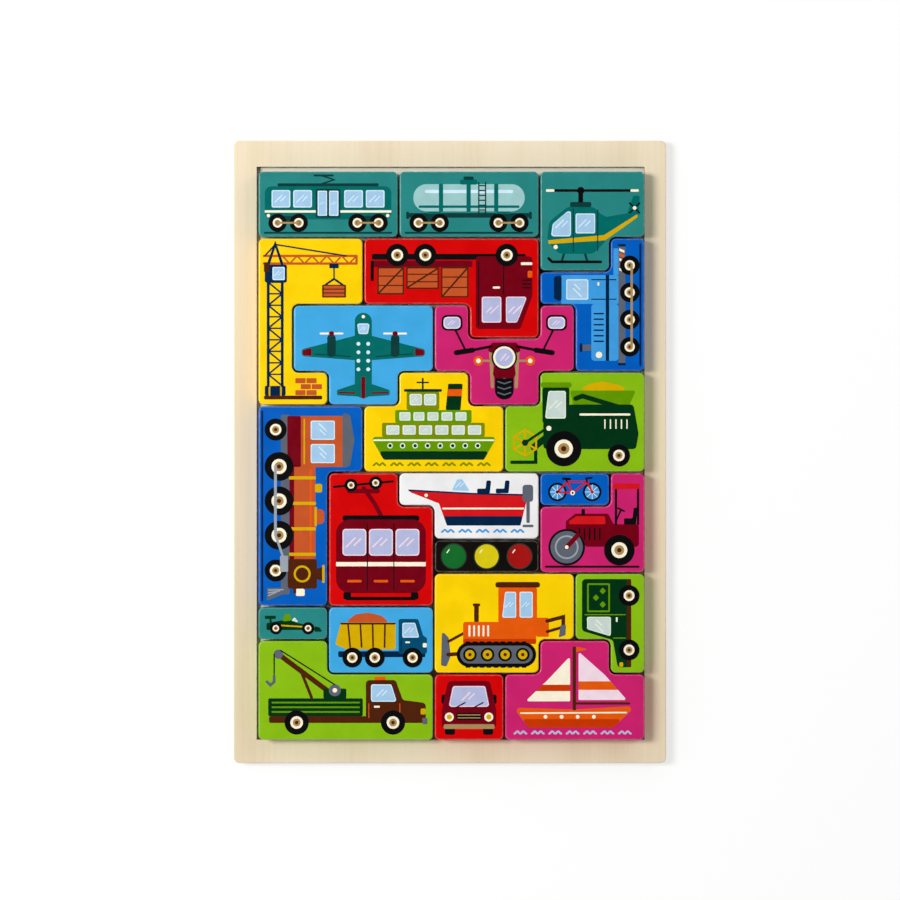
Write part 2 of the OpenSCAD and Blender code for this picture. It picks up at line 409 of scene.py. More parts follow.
def ribbon(points, width):
    """The outline of a stroke along points, with round ends and mitred bends."""
    sharpest_mitre = 0.4
    points = [Vector(p) for p in points]
    runs = [(b - a).normalized() for a, b in zip(points, points[1:])]
    sides = []
    for i in range(len(points)):
        before = runs[max(i - 1, 0)]
        after = runs[min(i, len(runs) - 1)]
        across = (before + after).normalized()
        mitre = width / 2 / max(sharpest_mitre, across.dot(after))
        sides.append(Vector((-across.y, across.x)) * mitre)
    end_angle = math.atan2(runs[-1].y, runs[-1].x)
    start_angle = math.atan2(runs[0].y, runs[0].x)
    right = [p - s for p, s in zip(points, sides)]
    left = [p + s for p, s in zip(points, sides)]
    far_cap = arc(points[-1], width / 2, end_angle - math.pi / 2, math.pi)
    near_cap = arc(points[0], width / 2, start_angle + math.pi / 2, math.pi)
    return right[1:-1] + far_cap + left[-2:0:-1] + near_cap


def upright(u, v, wide, high):
    """The corners of an upright rectangle from its lower left one."""
    return [(u, v), (u + wide, v), (u + wide, v + high), (u, v + high)]


class Picture:
    """A picture on a block's top, drawn in millimetres from the corner that is its lower left."""

    mm_per_metre = 1000
    film = 0.00001
    root = 0.00002

    def __init__(self, motif, paint, quarter_turns=0):
        self.motif = motif
        self.marks = []
        block = motif + "_block"
        rows = frame["record"]["subparts"]
        self.slot = next(row["material_slot"] for row in rows if row["node"] == block)
        frame["nodes"][block].material_slots[0].material = paint
        low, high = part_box(block)
        self.top = high.z
        turn = quarter_turns * math.pi / 2
        self.right = Vector((round(math.cos(turn)), round(math.sin(turn)))) / self.mm_per_metre
        self.up = Vector((-self.right.y, self.right.x))
        corner_x = low.x if quarter_turns in (0, 3) else high.x
        corner_y = low.y if quarter_turns in (0, 1) else high.y
        self.corner = Vector((corner_x, corner_y))

    def fill(self, colour, corners, r=0.0):
        """Prints a closed shape over what is printed there already."""
        points = rounded(corners, r) if r else [Vector(c) for c in corners]
        twice_area = sum(a.cross(b) for a, b in zip(points, points[1:] + points[:1]))
        if twice_area < 0:
            points.reverse()
        west, east = min(p.x for p in points), max(p.x for p in points)
        south, north = min(p.y for p in points), max(p.y for p in points)
        below = [0]
        for mark in self.marks:
            w, e, s, n = mark["reach"]
            if west < e and w < east and south < n and s < north:
                below.append(mark["level"])
        reach = (west, east, south, north)
        self.marks.append({"ink": colour, "points": points, "reach": reach, "level": 1 + max(below)})

    def box(self, colour, u, v, wide, high, r=0.0):
        """Prints an upright rectangle from its lower left corner."""
        self.fill(colour, upright(u, v, wide, high), r)

    def disc(self, colour, u, v, radius):
        """Prints a disc."""
        self.fill(colour, arc(Vector((u, v)), radius, 0.0, 2 * math.pi)[:-1])

    def rings(self, u, v, *rings):
        """Prints discs on one centre, each given by its ink and radius, the widest first."""
        for colour, radius in rings:
            self.disc(colour, u, v, radius)

    def line(self, colour, width, *points):
        """Prints a stroke."""
        self.fill(colour, ribbon(points, width))

    def strokes(self, colour, width, start, end, count, step_u=0, step_v=0):
        """Prints a row of like strokes."""
        for i in range(count):
            self.line(colour, width, *[(u + step_u * i, v + step_v * i) for u, v in (start, end)])

    def waves(self, colour, start_u, end_u, v):
        """Prints a row of water ripples, each a smooth stroke with a few crests."""
        pitch, wide, high = 8.2, 5.6, 1.0
        crests, steps = 2, 24
        stroke = 0.9
        phases = [i / steps for i in range(steps + 1)]
        swell = [v + high / 2 * (1 - math.cos(2 * math.pi * crests * p)) for p in phases]
        for ripple in range(int((end_u - start_u + pitch - wide) / pitch)):
            first_u = start_u + pitch * ripple
            self.line(colour, stroke, *[(first_u + wide * p, s) for p, s in zip(phases, swell)])

    def pane(self, inks, corners, r=0.8):
        """Prints a window in a glass and a shine ink: a bright rim, its glass and two streaks of light."""
        glass, shine = inks
        rim, least_r = 0.5, 0.2
        streaks, streak_share = ((-0.15, 0.38), (0.12, 0.26)), 0.06
        outer = [Vector(c) for c in corners]
        centre = sum(outer, Vector((0, 0))) / len(outer)
        wide = max(c.x for c in outer) - min(c.x for c in outer)
        high = max(c.y for c in outer) - min(c.y for c in outer)
        squeeze = Vector((1 - 2 * rim / wide, 1 - 2 * rim / high))
        self.fill(shine, outer, r)
        self.fill(glass, [centre + (c - centre) * squeeze for c in outer], max(r - rim / 2, least_r))
        span = min(wide, high)
        for side, length in streaks:
            start = centre + Vector((side - length / 2, -length / 2)) * span
            end = centre + Vector((side + length / 2, length / 2)) * span
            self.line(shine, streak_share * span, start, end)

    def window(self, inks, u, v, wide, high, r=0.8):
        """Prints an upright window from its lower left corner."""
        self.pane(inks, upright(u, v, wide, high), r)

    def wheel(self, u, v, radius):
        """Prints a tyre with its hub, cap and axle."""
        hub, cap, axle = 0.52 * radius, 0.32 * radius, 0.15 * radius
        self.rings(u, v, (tyre_black, radius), (cream, hub), (tan, cap), (brown, axle))

    def print_on(self):
        """Makes one mesh of all the films, each a thin closed slab, and hands it to the block."""
        points, faces, colours = [], [], []
        inks = list(dict.fromkeys(mark["ink"] for mark in self.marks))
        for mark in self.marks:
            flat = [self.corner + self.right * p.x + self.up * p.y for p in mark["points"]]
            count = len(flat)
            first = len(points)
            points += [(p.x, p.y, self.top - self.root) for p in flat]
            points += [(p.x, p.y, self.top + mark["level"] * self.film) for p in flat]
            faces.append([first + i for i in reversed(range(count))])
            faces.append([first + count + i for i in range(count)])
            for i in range(count):
                j = (i + 1) % count
                faces.append([first + i, first + j, first + count + j, first + count + i])
            colours += [inks.index(mark["ink"])] * (count + 2)
        mesh = bpy.data.meshes.new(self.motif + "_print")
        mesh.from_pydata(points, [], faces)
        for material in inks:
            mesh.materials.append(material)
        mesh.polygons.foreach_set("material_index", colours)
        mesh.update()
        print_object = bpy.data.objects.new(self.motif + "_print", mesh)
        scene.collection.objects.link(print_object)
        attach(print_object, self.motif)


teal_paint = spray("teal", "278480")
tyre_black = ink("tyre_black", "0b0a0c")
cream = ink("cream", "fcf3d9")
tan = ink("tan", "a98b58")
brown = ink("brown", "4e210a")
dark_teal = ink("dark_teal", "006964")
deep_teal = ink("deep_teal", "0b3b3a")
blue_glass = ink("blue_glass", "a3c9e8")
blue_shine = ink("blue_shine", "d3edf9")
blue_pane = (blue_glass, blue_shine)
pale_teal = ink("pale_teal", "9cc9c9")


def print_bogie(picture, u):
    """A rail carriage's pair of wheels in its side frame."""
    half_base, beam_high = 5, 3.2
    axle_v, wheel_r = 6.6, 4.3
    rod = 0.9
    picture.box(deep_teal, u - half_base, axle_v, 2 * half_base, beam_high)
    for axle_u in (u - half_base, u + half_base):
        picture.wheel(axle_u, axle_v, wheel_r)
    picture.line(tan, rod, (u - half_base, axle_v), (u + half_base, axle_v))


art = Picture("tram", teal_paint)
art.line(deep_teal, 0.9, (3, 1.9), (62.6, 1.9))
art.box(dark_teal, 3, 8.2, 59.6, 15.6, 3.2)
art.box(cream, 3, 11.4, 59.6, 1.1)
for window_u in (6.2, 16.4, 40.4, 50.6):
    art.window(blue_pane, window_u, 13.8, 8.8, 8.2)
art.box(deep_teal, 27, 9, 11.6, 13.6, 0.8)
for door_u in (27.9, 33.3):
    art.window(blue_pane, door_u, 9.9, 4.4, 11.8, 0.5)
art.box(deep_teal, 9, 23.8, 47.6, 1.4, 0.5)
art.line(deep_teal, 0.8, (30, 25), (35.6, 26.9), (30, 28.8))
art.line(deep_teal, 0.9, (26.4, 28.9), (35, 28.9))
for lamp_u in (4.7, 60.9):
    art.disc(cream, lamp_u, 10, 0.8)
for bogie_u in (14, 51.6):
    print_bogie(art, bogie_u)
art.print_on()

art = Picture("tank_wagon", teal_paint)
art.line(deep_teal, 0.9, (3, 1.9), (62.6, 1.9))
art.box(deep_teal, 4.6, 9, 56.4, 2.2, 0.5)
for buffer_u in (3.2, 61):
    art.box(deep_teal, buffer_u, 8.4, 1.4, 3.4, 0.4)
saddle = ((-1, 10.8), (6, 10.8), (4, 15), (1, 15))
for saddle_u in (14, 46.6):
    art.fill(dark_teal, [(saddle_u + u, v) for u, v in saddle])
art.box(pale_teal, 6.6, 12, 52.4, 12.8, 6.2)
art.box(blue_shine, 12, 20.6, 41.6, 1.5, 0.7)
art.box(dark_teal, 9, 13.6, 47.6, 1.2, 0.6)
for band_u in (18.6, 31.6, 44.6):
    art.box(dark_teal, band_u, 11.8, 2, 13.2, 0.5)
art.box(dark_teal, 28.6, 24.6, 8, 2.4, 0.8)
art.box(deep_teal, 30.2, 26.8, 4.8, 1.6, 0.6)
art.strokes(deep_teal, 0.6, (37.4, 11), (37.4, 25.6), count=2, step_u=3.2)
art.strokes(deep_teal, 0.6, (37.4, 12.6), (40.6, 12.6), count=6, step_v=2.3)
for bogie_u in (14, 51.6):
    print_bogie(art, bogie_u)
art.print_on()

# Helicopter: the third wooden block of the head row, in the same teal, stepped at its lower right corner.
# Its machine is printed from the side, with the rotor across the top and the tail over the step.
ochre = ink("ochre", "d4aa00")
art = Picture("helicopter", teal_paint)
for strut_top, strut_foot in (((11.6, 9.4), (10, 4)), ((20.6, 9.4), (22.2, 4))):
    art.line(deep_teal, 1.1, strut_top, strut_foot)
art.line(tyre_black, 1.3, (3.9, 5.6), (5.6, 4), (28.4, 4))
art.fill(dark_teal, [(27, 13.6), (31, 15.6), (46, 24.6), (46, 27.8), (31, 25.2), (27, 27.4)], 1)
art.fill(dark_teal, [(40.6, 26), (46.4, 26), (46.8, 35.2), (43.8, 35.2)], 0.8)
cabin = [(3.2, 14), (8.6, 7.8), (25, 7.8), (31, 14), (31, 24), (25, 30), (13, 30), (4.2, 23)]
art.fill(dark_teal, cabin, 4.6)
art.fill(ochre, [(4, 12.4), (30.6, 14.2), (45.8, 25), (45.8, 26.6), (30, 16.6), (3.6, 14.2)], 0.4)
art.pane(blue_pane, [(5, 16), (14.4, 16), (14.4, 27.8), (12.8, 27.8), (5.8, 21.8)], 1.2)
art.window(blue_pane, 16.6, 17.4, 9.2, 9.4)
art.line(deep_teal, 0.5, (15.5, 8.8), (15.5, 29))
art.line(deep_teal, 0.5, (27, 9.4), (27, 28.4))
art.disc(cream, 7.2, 11, 1)
art.box(deep_teal, 14, 29.8, 10, 2.4, 0.8)
art.box(tyre_black, 17.9, 32, 2.2, 5.4)
art.disc(tyre_black, 19, 37.6, 1.7)
art.box(tyre_black, 2.6, 37, 43.8, 1.2, 0.5)
for tip_u in (2.6, 42.4):
    art.box(cream, tip_u, 37, 4, 1.2, 0.5)
tail_hub = Vector((44.4, 29.4))
for tip in arc(tail_hub, 3.2, math.pi / 4, 3 * math.pi / 2, steps=3):
    art.line(tyre_black, 0.8, tail_hub, tip)
art.disc(cream, *tail_hub, 0.9)
art.print_on()

# Crane: a wooden block in yellow paint down the left side, shaped like an S with a long straight back.
# Its printed tower crane stands in the column, reaches over the head part and has bricks at its foot.
yellow_paint = spray("yellow", "fbd102")
navy = ink("navy", "002346")
rust = ink("rust", "c35528")
art = Picture("crane", yellow_paint)
art.box(brown, 2.6, 2.4, 27.4, 1.8, 0.5)
art.box(navy, 3, 4.2, 9.8, 4.6, 0.6)
art.strokes(ochre, 0.8, (5.2, 4.4), (5.2, 8.6), count=2, step_u=5.4)
mast_left, mast_right = 4.6, 11.2
mast_foot, mast_head = 8.8, 57.6
mast_bays = 9
bay = (mast_head - mast_foot) / mast_bays
zigzag = [(mast_left if i % 2 else mast_right, mast_foot + i * bay) for i in range(mast_bays + 1)]
art.line(navy, 0.8, *zigzag)
rung_v = mast_foot + bay
art.strokes(navy, 0.7, (mast_left, rung_v), (mast_right, rung_v), mast_bays, step_v=bay)
for stile_u in (mast_left, mast_right):
    art.line(navy, 1.3, (stile_u, mast_foot), (stile_u, mast_head))
for row, first_u in enumerate((17.4, 19.9, 17.4)):
    for column in range(2):
        art.box(rust, first_u + 5.2 * column, 4.4 + 2.8 * row, 4.8, 2.4, 0.3)
art.fill(navy, [(3, 57.4), (13.4, 57.4), (13.4, 66), (3, 66)], 1)
art.window(blue_pane, 6.6, 58.6, 5.8, 6.2, 0.6)
jib_low, jib_high, jib_end = 66.4, 70, 46.2
jib_bays = 10
bay = (jib_end - mast_right) / jib_bays
zigzag = [(mast_right + i * bay, jib_low if i % 2 else jib_high) for i in range(jib_bays + 1)]
art.line(rust, 0.7, *zigzag)
for chord_v in (jib_low, jib_high):
    art.line(rust, 1.1, (2.6, chord_v), (jib_end, chord_v))
art.line(rust, 1.1, (jib_end, jib_low), (jib_end, jib_high))
art.line(navy, 0.7, (7.9, 75.4), (jib_end - 5, jib_high))
art.line(navy, 0.7, (7.9, 75.4), (3, jib_high))
art.line(navy, 1.3, (mast_left, 66), (7.9, 75.6), (mast_right, 66))
art.box(brown, 2.6, 62.4, 2.4, 4.6, 0.4)
art.box(navy, 33.4, 64.2, 4.4, 2.2, 0.5)
art.line(navy, 0.6, (35.6, 64.4), (35.6, 59.2))
art.line(navy, 0.9, (31.6, 56.4), (35.6, 59.2), (39.6, 56.4))
art.box(brown, 30, 50.4, 11.2, 6, 0.5)
for slat in range(3):
    art.box(rust, 30.7, 51 + 1.8 * slat, 9.8, 1.3, 0.3)
art.print_on()

# Lorry: a wooden block in red paint below the head row, a long bar with one foot, head down in the tray.
# Its flatbed lorry is printed upside down and carries crates; the cab stands in the foot.
red_paint = spray("red", "d30203")
maroon = ink("maroon", "730014")
lilac_glass = ink("lilac_glass", "b4bade")
lilac_shine = ink("lilac_shine", "f3dbe6")
lilac_pane = (lilac_glass, lilac_shine)
bright_orange = ink("bright_orange", "e65a0a")
art = Picture("lorry", red_paint, quarter_turns=2)
art.box(tyre_black, 6, 7.2, 72.6, 2.8, 0.8)
art.fill(maroon, [(3, 8.4), (3, 27), (8.6, 42.6), (29.6, 42.6), (29.6, 8.4)], 1.6)
art.pane(lilac_pane, [(5.4, 27.4), (10.2, 39.6), (15.4, 39.6), (15.4, 27.4)], 1)
art.window(lilac_pane, 17.6, 27.4, 9.2, 12.2, 1)
art.line(tyre_black, 0.5, (16.5, 11), (16.5, 26))
art.line(tyre_black, 0.5, (28.3, 11), (28.3, 41))
art.box(cream, 18.2, 22.6, 3.4, 1, 0.4)
art.box(bright_orange, 3, 15.2, 2.2, 3.2, 0.6)
art.box(cream, 3, 11.2, 5.4, 1.3, 0.5)
art.strokes(tyre_black, 0.6, (3.8, 19.6), (7.4, 19.6), count=3, step_v=1.8)
art.box(maroon, 31.2, 10.4, 48, 3, 0.6)
art.box(tyre_black, 77.6, 10.4, 1.6, 9.6, 0.5)
for crate_u, crate_w, crate_h in ((33, 13, 14.4), (47, 15.4, 10.4), (63.4, 12.6, 13)):
    art.box(brown, crate_u, 13.4, crate_w, crate_h, 0.4)
    art.box(rust, crate_u + 0.7, 14.1, crate_w - 1.4, crate_h - 1.4, 0.3)
    art.line(brown, 0.8, (crate_u + 1, 14.4), (crate_u + crate_w - 1, 13 + crate_h - 0.6))
    for plank in (0.33, 0.67):
        plank_v = 13.4 + crate_h * plank
        art.line(brown, 0.5, (crate_u + 0.8, plank_v), (crate_u + crate_w - 0.8, plank_v))
for wheel_u in (15, 53.4, 66.6):
    art.wheel(wheel_u, 7.8, 5.3)
art.print_on()

# Shunter: a wooden block in royal blue on the right side, four cells long with a stair of two at its back.
# The print lies on its side: a small diesel engine with its cab in the stair's highest cell.
royal_blue_paint = spray("royal_blue", "005cbc")
slate = ink("slate", "5d6470")
sky_ink = ink("sky_ink", "3f9be0")
art = Picture("shunter", royal_blue_paint, quarter_turns=1)
art.line(navy, 0.9, (2.8, 1.9), (59.6, 1.9))
art.box(slate, 3.6, 9, 55.2, 3.2, 0.5)
art.box(sky_ink, 4.8, 12.2, 26.8, 12.8, 1.6)
art.box(navy, 4.8, 16.6, 26.8, 1.6)
art.strokes(navy, 0.7, (14, 19.4), (14, 23.6), count=6, step_u=2.6)
art.disc(cream, 7.6, 21.4, 1.5)
art.box(slate, 9.6, 25, 2.8, 4.6, 0.5)
art.box(navy, 8.9, 29.2, 4.2, 1.3, 0.5)
art.box(sky_ink, 31.6, 12.2, 13.6, 27, 0.8)
art.box(navy, 31.6, 16.6, 13.6, 1.6)
art.window(blue_pane, 33.6, 26.4, 9.6, 10.4)
art.strokes(navy, 0.5, (33.8, 13.4), (33.8, 24.8), count=2, step_u=9.2)
art.box(cream, 40.2, 21.2, 1.6, 0.9, 0.3)
art.fill(navy, [(32.4, 39), (45.2, 39), (44.4, 42.6), (34, 42.6)], 1.2)
art.box(sky_ink, 45.2, 12.2, 12.6, 2.4, 0.6)
slant = ((46.4, 9.4), (47.6, 9.4), (48.6, 11.8), (47.4, 11.8))
for hazard, colour in enumerate((cream, bright_orange, cream, bright_orange, cream)):
    art.fill(colour, [(u + 2.3 * hazard, v) for u, v in slant])
for buffer_u in (2.6, 58.6):
    art.box(navy, buffer_u, 8.8, 1.2, 3.6, 0.4)
for wheel_u in (11.4, 24.2, 37, 49.8):
    art.wheel(wheel_u, 6.9, 4.6)
art.line(tan, 1.1, (11.4, 6), (49.8, 6))
art.print_on()

# Plane: a wooden block in sky blue in the middle of the tray, a wide bar with a short stem below it.
# Its aeroplane is printed from above, with the wings along the bar and the tail in the stem.
sky_blue_paint = spray("sky_blue", "40a7e0")
middle_u = 32.8


def on_side(side, *points):
    """Points given outwards from the middle of a block four cells wide, on one side of it."""
    return [(middle_u + side * u, v) for u, v in points]


art = Picture("plane", sky_blue_paint)
for side in (-1, 1):
    art.fill(dark_teal, on_side(side, (0, 20.6), (29, 22.8), (29, 26), (0, 33.4)), 1.4)
    art.fill(maroon, on_side(side, (24.4, 23), (28.6, 23.2), (28.6, 25.6), (24.4, 26.6)), 0.5)
    art.line(deep_teal, 0.5, *on_side(side, (6, 22.6), (23, 23.8)))
    art.fill(dark_teal, on_side(side, (0, 3.6), (12.4, 4.4), (12.4, 6.8), (0, 11)), 0.8)
    art.line(maroon, 0.8, *on_side(side, (4, 5.4), (11.4, 5.6)))
    engine_u = middle_u + side * 15
    art.box(deep_teal, engine_u - 2, 22.4, 4, 10.6, 1.8)
    art.box(cream, engine_u - 5.6, 33, 11.2, 0.9, 0.4)
    art.disc(maroon, engine_u, 33.4, 1.2)
art.box(dark_teal, 28.8, 3, 8, 40.2, 4)
art.box(maroon, 31.9, 2.8, 1.8, 10.4, 0.8)
art.pane(blue_pane, [(30.6, 33.2), (35, 33.2), (35.8, 38.2), (29.8, 38.2)], 1)
for port_row in range(4):
    for port_u in (30.5, 35.1):
        art.disc(blue_shine, port_u, 16.6 + 4 * port_row, 0.9)
art.disc(cream, middle_u, 41.4, 0.8)
art.print_on()

# Motorbike: a wooden block in magenta with two prongs that hold the red block's foot, and a stem below.
# The printed motorbike comes straight at the viewer, with a mirror in each prong.
magenta_paint = spray("magenta", "cb226d")
art = Picture("motorbike", magenta_paint)
for side in (-1, 1):
    art.line(tan, 1.5, *on_side(side, (5.6, 8.4), (6.4, 26.2)))
art.box(tyre_black, 28.4, 2.4, 8.8, 15.4, 4.2)
for tread in range(4):
    tread_v = 4.6 + 2.6 * tread
    art.line(slate, 0.6, (29.8, tread_v + 1), (middle_u, tread_v), (35.8, tread_v + 1))
art.fill(maroon, [(27, 12.4), (38.6, 12.4), (37.4, 19), (28.2, 19)], 2.2)
art.fill(maroon, [(24, 24.4), (41.6, 24.4), (38.6, 29.2), (27, 29.2)], 1.6)
for side in (-1, 1):
    art.line(tyre_black, 1.3, *on_side(side, (6, 27.4), (15, 25.6)))
    art.line(tyre_black, 2.4, *on_side(side, (15, 25.6), (22.6, 24.4)))
    art.line(tyre_black, 0.9, *on_side(side, (18, 25), (23.2, 35.4)))
    mirror_u = middle_u + side * 24.6
    art.box(tyre_black, mirror_u - 4.9, 34.8, 9.8, 7.4, 2.6)
    art.window(lilac_pane, mirror_u - 4, 35.7, 8, 5.6, 2)
    art.rings(middle_u + side * 12.2, 20.6, (bright_orange, 2.3), (cream, 1.1))
    art.line(tan, 1, *on_side(side, (7, 20.6), (10, 20.6)))
art.rings(middle_u, 22.2, (tyre_black, 6), (cream, 5.2), (lilac_glass, 4.2))
art.line(lilac_shine, 0.6, (31.2, 20.8), (33.6, 23.8))
art.line(lilac_shine, 0.5, (33.4, 20.8), (35, 22.8))
art.print_on()

# Ferry: a wooden block in yellow in the middle of the tray, a bar with a wide tab on top.
# Its ship is printed in greens, with two decks along the bar and the bridge in the tab.
leaf = ink("leaf", "629600")
deep_green = ink("deep_green", "003214")
olive = ink("olive", "7d8a00")
sage_glass = ink("sage_glass", "c9d8d2")
sage_shine = ink("sage_shine", "e4f2dc")
sage_pane = (sage_glass, sage_shine)
art = Picture("ferry", yellow_paint)
art.waves(olive, 4.4, 61.2, 3)
art.fill(leaf, [(3, 16.4), (9.2, 5.6), (56.4, 5.6), (62.6, 16.4)], 1.4)
art.fill(deep_green, [(6.8, 9.6), (9.2, 5.6), (56.4, 5.6), (58.8, 9.6)], 1)
art.line(cream, 0.8, (4.6, 14.8), (61, 14.8))
for port in range(8):
    art.rings(12.2 + 5.9 * port, 12.2, (sage_shine, 1.3), (deep_green, 0.8))
art.box(olive, 8.4, 16.4, 48.4, 6.6, 0.8)
for place in range(6):
    art.window(sage_pane, 10.4 + 7.7 * place, 17.4, 6.2, 4.4, 0.6)
art.box(leaf, 14.6, 23, 36, 6, 0.8)
for place in range(5):
    art.window(sage_pane, 16.6 + 6.6 * place, 24, 5.2, 4, 0.6)
art.box(olive, 20, 29, 15.4, 8.8, 1)
for window_u in (21.4, 28.2):
    art.window(sage_pane, window_u, 31.2, 5.8, 5.4)
art.box(deep_green, 18.8, 37.6, 17.8, 1.3, 0.5)
art.line(deep_green, 0.8, (27.6, 38.6), (27.6, 43.8))
art.line(deep_green, 0.7, (25, 42), (30.2, 42))
art.fill(deep_green, [(38.4, 29), (45.4, 29), (46.4, 41.4), (39.6, 41.4)], 0.6)
art.fill(bright_orange, [(39, 35.6), (45.9, 35.6), (46.2, 38.8), (39.3, 38.8)])
art.print_on()

# Harvester: a wooden block in lime green under the motorbike, a wide bar with its upper left cell missing.
# Its combine harvester is printed facing left, with the reel under the missing cell.
lime_paint = spray("lime", "88bb12")
art = Picture("harvester", lime_paint)
art.fill(deep_green, [(13, 9), (20, 14.6), (20, 18.6), (11.6, 12)], 0.6)
art.line(deep_green, 1.6, (3.2, 4.4), (14.4, 4.4), (14.4, 10))
reel_hub = Vector((9.4, 13.6))
tips = arc(reel_hub, 6, math.pi / 6, 2 * math.pi, steps=6)
for i in (0, 2, 4, 1, 3, 5):
    art.line(ochre, 0.9, tips[i], tips[i + 1])
for i in range(3):
    art.line(ochre, 1, tips[i], tips[i + 3])
art.disc(deep_green, *reel_hub, 1.5)
art.line(deep_green, 1.2, reel_hub, (19.6, 20.4))
art.fill(deep_green, [(18, 10.6), (61.6, 10.6), (62.8, 18), (60.4, 31.6), (30.6, 31.6), (18, 24)], 1.8)
art.fill(leaf, [(32, 31.6), (58.6, 31.6), (61.6, 38.2), (30.6, 38.2)], 0.8)
art.fill(ochre, [(34, 38.2), (40, 41.4), (46, 42.4), (53, 41), (58.6, 38.2)], 1.2)
art.line(deep_green, 2.2, (55, 30), (36.4, 35.6), (33.2, 34.4))
art.box(deep_green, 17.6, 22.6, 12.6, 17.4, 1.4)
art.pane(sage_pane, [(18.8, 25), (28.6, 25), (28.6, 38), (20.4, 38)], 1)
art.box(leaf, 16.8, 39.6, 14.4, 2.4, 0.9)
art.box(cream, 35, 26.4, 24, 1, 0.4)
art.strokes(cream, 0.6, (47, 20.4), (47, 24.4), count=5, step_u=2.6)
art.disc(cream, 20.6, 20.4, 1.2)
art.wheel(27.6, 10.8, 8.3)
art.wheel(53.6, 7.6, 5.2)
art.print_on()

# Locomotive: the largest wooden block in royal blue, at the left side, a long bar with a tab at one end.
# The print stands on the tray's left rail: a steam engine with its cab in the tab.
pale_slate = ink("pale_slate", "9aa3ad")
art = Picture("locomotive", royal_blue_paint, quarter_turns=3)
art.line(navy, 0.9, (2.6, 1.8), (91.4, 1.8))
art.box(slate, 4, 10.6, 84.6, 4, 0.6)
art.box(rust, 27, 14.6, 45, 12.2, 1)
art.box(brown, 72, 13.8, 14, 13.8, 1.2)
art.box(maroon, 27, 14.6, 45, 2.2)
art.line(bright_orange, 0.9, (30, 24.6), (70, 24.6))
for band_u in (33, 45, 57, 69):
    art.box(ochre, band_u, 14.4, 1.5, 12.6)
art.fill(rust, [(48, 26.6), (56, 26.6), (55, 31), (49, 31)], 1.8)
art.box(ochre, 47.4, 26.4, 9.2, 1.1, 0.4)
art.box(ochre, 36.6, 26.6, 4, 3.4, 0.9)
art.fill(brown, [(76.6, 27.2), (81.4, 27.2), (82.6, 31), (75.4, 31)], 0.4)
art.box(ochre, 74.8, 30, 8.4, 1.2, 0.4)
art.rings(79, 20.6, (ochre, 4), (brown, 3))
art.box(rust, 4.6, 13.6, 24, 26.4, 0.8)
art.box(maroon, 4.6, 13.6, 24, 6.4, 0.8)
art.line(ochre, 0.7, (6.2, 21.6), (27, 21.6))
for window_u in (6.8, 17.8):
    art.window(blue_pane, window_u, 24.6, 9, 11.4)
art.fill(slate, [(2.8, 39.6), (29.4, 39.6), (28, 43.2), (16, 45.2), (4.2, 43.2)], 1.2)
art.fill(slate, [(85.6, 4), (91.6, 4), (88, 13), (85.6, 13)], 0.5)
for bar in range(3):
    art.line(pale_slate, 0.6, (86.6 + 1.3 * bar, 4.8), (86.4 + 0.6 * bar, 11.6 - 1.6 * bar))
art.box(cream, 86, 17.6, 3.4, 4.2, 0.8)
art.box(brown, 85.6, 16.4, 2.8, 1.4, 0.3)
for wheel_u, wheel_r in ((11, 5.2), (28.4, 6.8), (44.6, 6.8), (60.8, 6.8), (77.4, 5.2)):
    art.wheel(wheel_u, 2.9 + wheel_r, wheel_r)
art.line(pale_slate, 1.3, (28.4, 8), (44.6, 8), (60.8, 8))
art.line(pale_slate, 1.1, (60.8, 8), (72, 12))
art.box(pale_slate, 70.4, 10.2, 7.6, 3.8, 0.5)
art.print_on()

# Cable car: a tall wooden block in red beside the locomotive, with a tab on its upper left.
# The printed cabin fills the block and hangs from a cable that crosses the tab.
art = Picture("cable_car", red_paint)
art.line(tyre_black, 1.1, (2.4, 56), (30, 58.6))
art.line(maroon, 2, (16.4, 55.4), (21.6, 48), (24.5, 42.6))
art.box(maroon, 8.6, 53, 15.4, 2, 0.8)
for pulley_u, pulley_v in ((10.4, 56.8), (22, 57.9)):
    art.wheel(pulley_u, pulley_v, 3.1)
art.box(tyre_black, 6.4, 39.8, 36.2, 2.8, 1.2)
art.box(maroon, 3.4, 6, 42.2, 34.6, 6.6)
for column in range(3):
    art.window(lilac_pane, 6.4 + 12.5 * column, 23.6, 11.2, 12.6, 1.6)
art.box(cream, 3.4, 18.6, 42.2, 2)
art.strokes(tyre_black, 0.5, (18.1, 7.4), (18.1, 38.6), count=2, step_u=12.5)
for panel in range(3):
    art.box(bright_orange, 8.6 + 12.5 * panel, 11, 6.8, 1.2, 0.5)
for foot_u in (6.8, 38.6):
    art.box(tyre_black, foot_u, 3, 3.6, 3.4, 0.8)
art.box(tyre_black, 8, 2.6, 33, 1.6, 0.7)
art.print_on()

# Speedboat: a wooden block in white in the middle of the tray, a bar with its lower left cell missing.
# Its motor boat is printed running to the left, with the bow over the missing cell.
white_paint = spray("white", "eeeded")
signal_red = ink("signal_red", "d3161c")
art = Picture("speedboat", white_paint)
art.waves(sky_ink, 20, 62, 3.2)
art.fill(signal_red, [(2.8, 22.8), (18.6, 16.6), (22.4, 6.2), (57, 6.2), (60.6, 20.4), (34, 21)], 0.4)
art.fill(navy, [(20.8, 10.6), (22.4, 6.2), (57, 6.2), (58.1, 10.6)], 0.8)
art.line(cream, 0.8, (20.6, 14.2), (58.4, 14.2))
art.line(navy, 0.8, (4.6, 22.8), (34, 21.2), (60, 20.6))
art.pane(blue_pane, [(24.4, 22.4), (33.6, 22), (29.6, 28.4), (27, 28.4)], 0.6)
seat = ((0, 21.4), (6, 21.4), (6.6, 27.4), (4.4, 27.4), (4, 23.6), (0, 23.6))
for seat_u in (36.6, 45.4):
    art.fill(navy, [(seat_u + u, v) for u, v in seat], 0.6)
art.box(slate, 58, 17.4, 5, 8, 1.4)
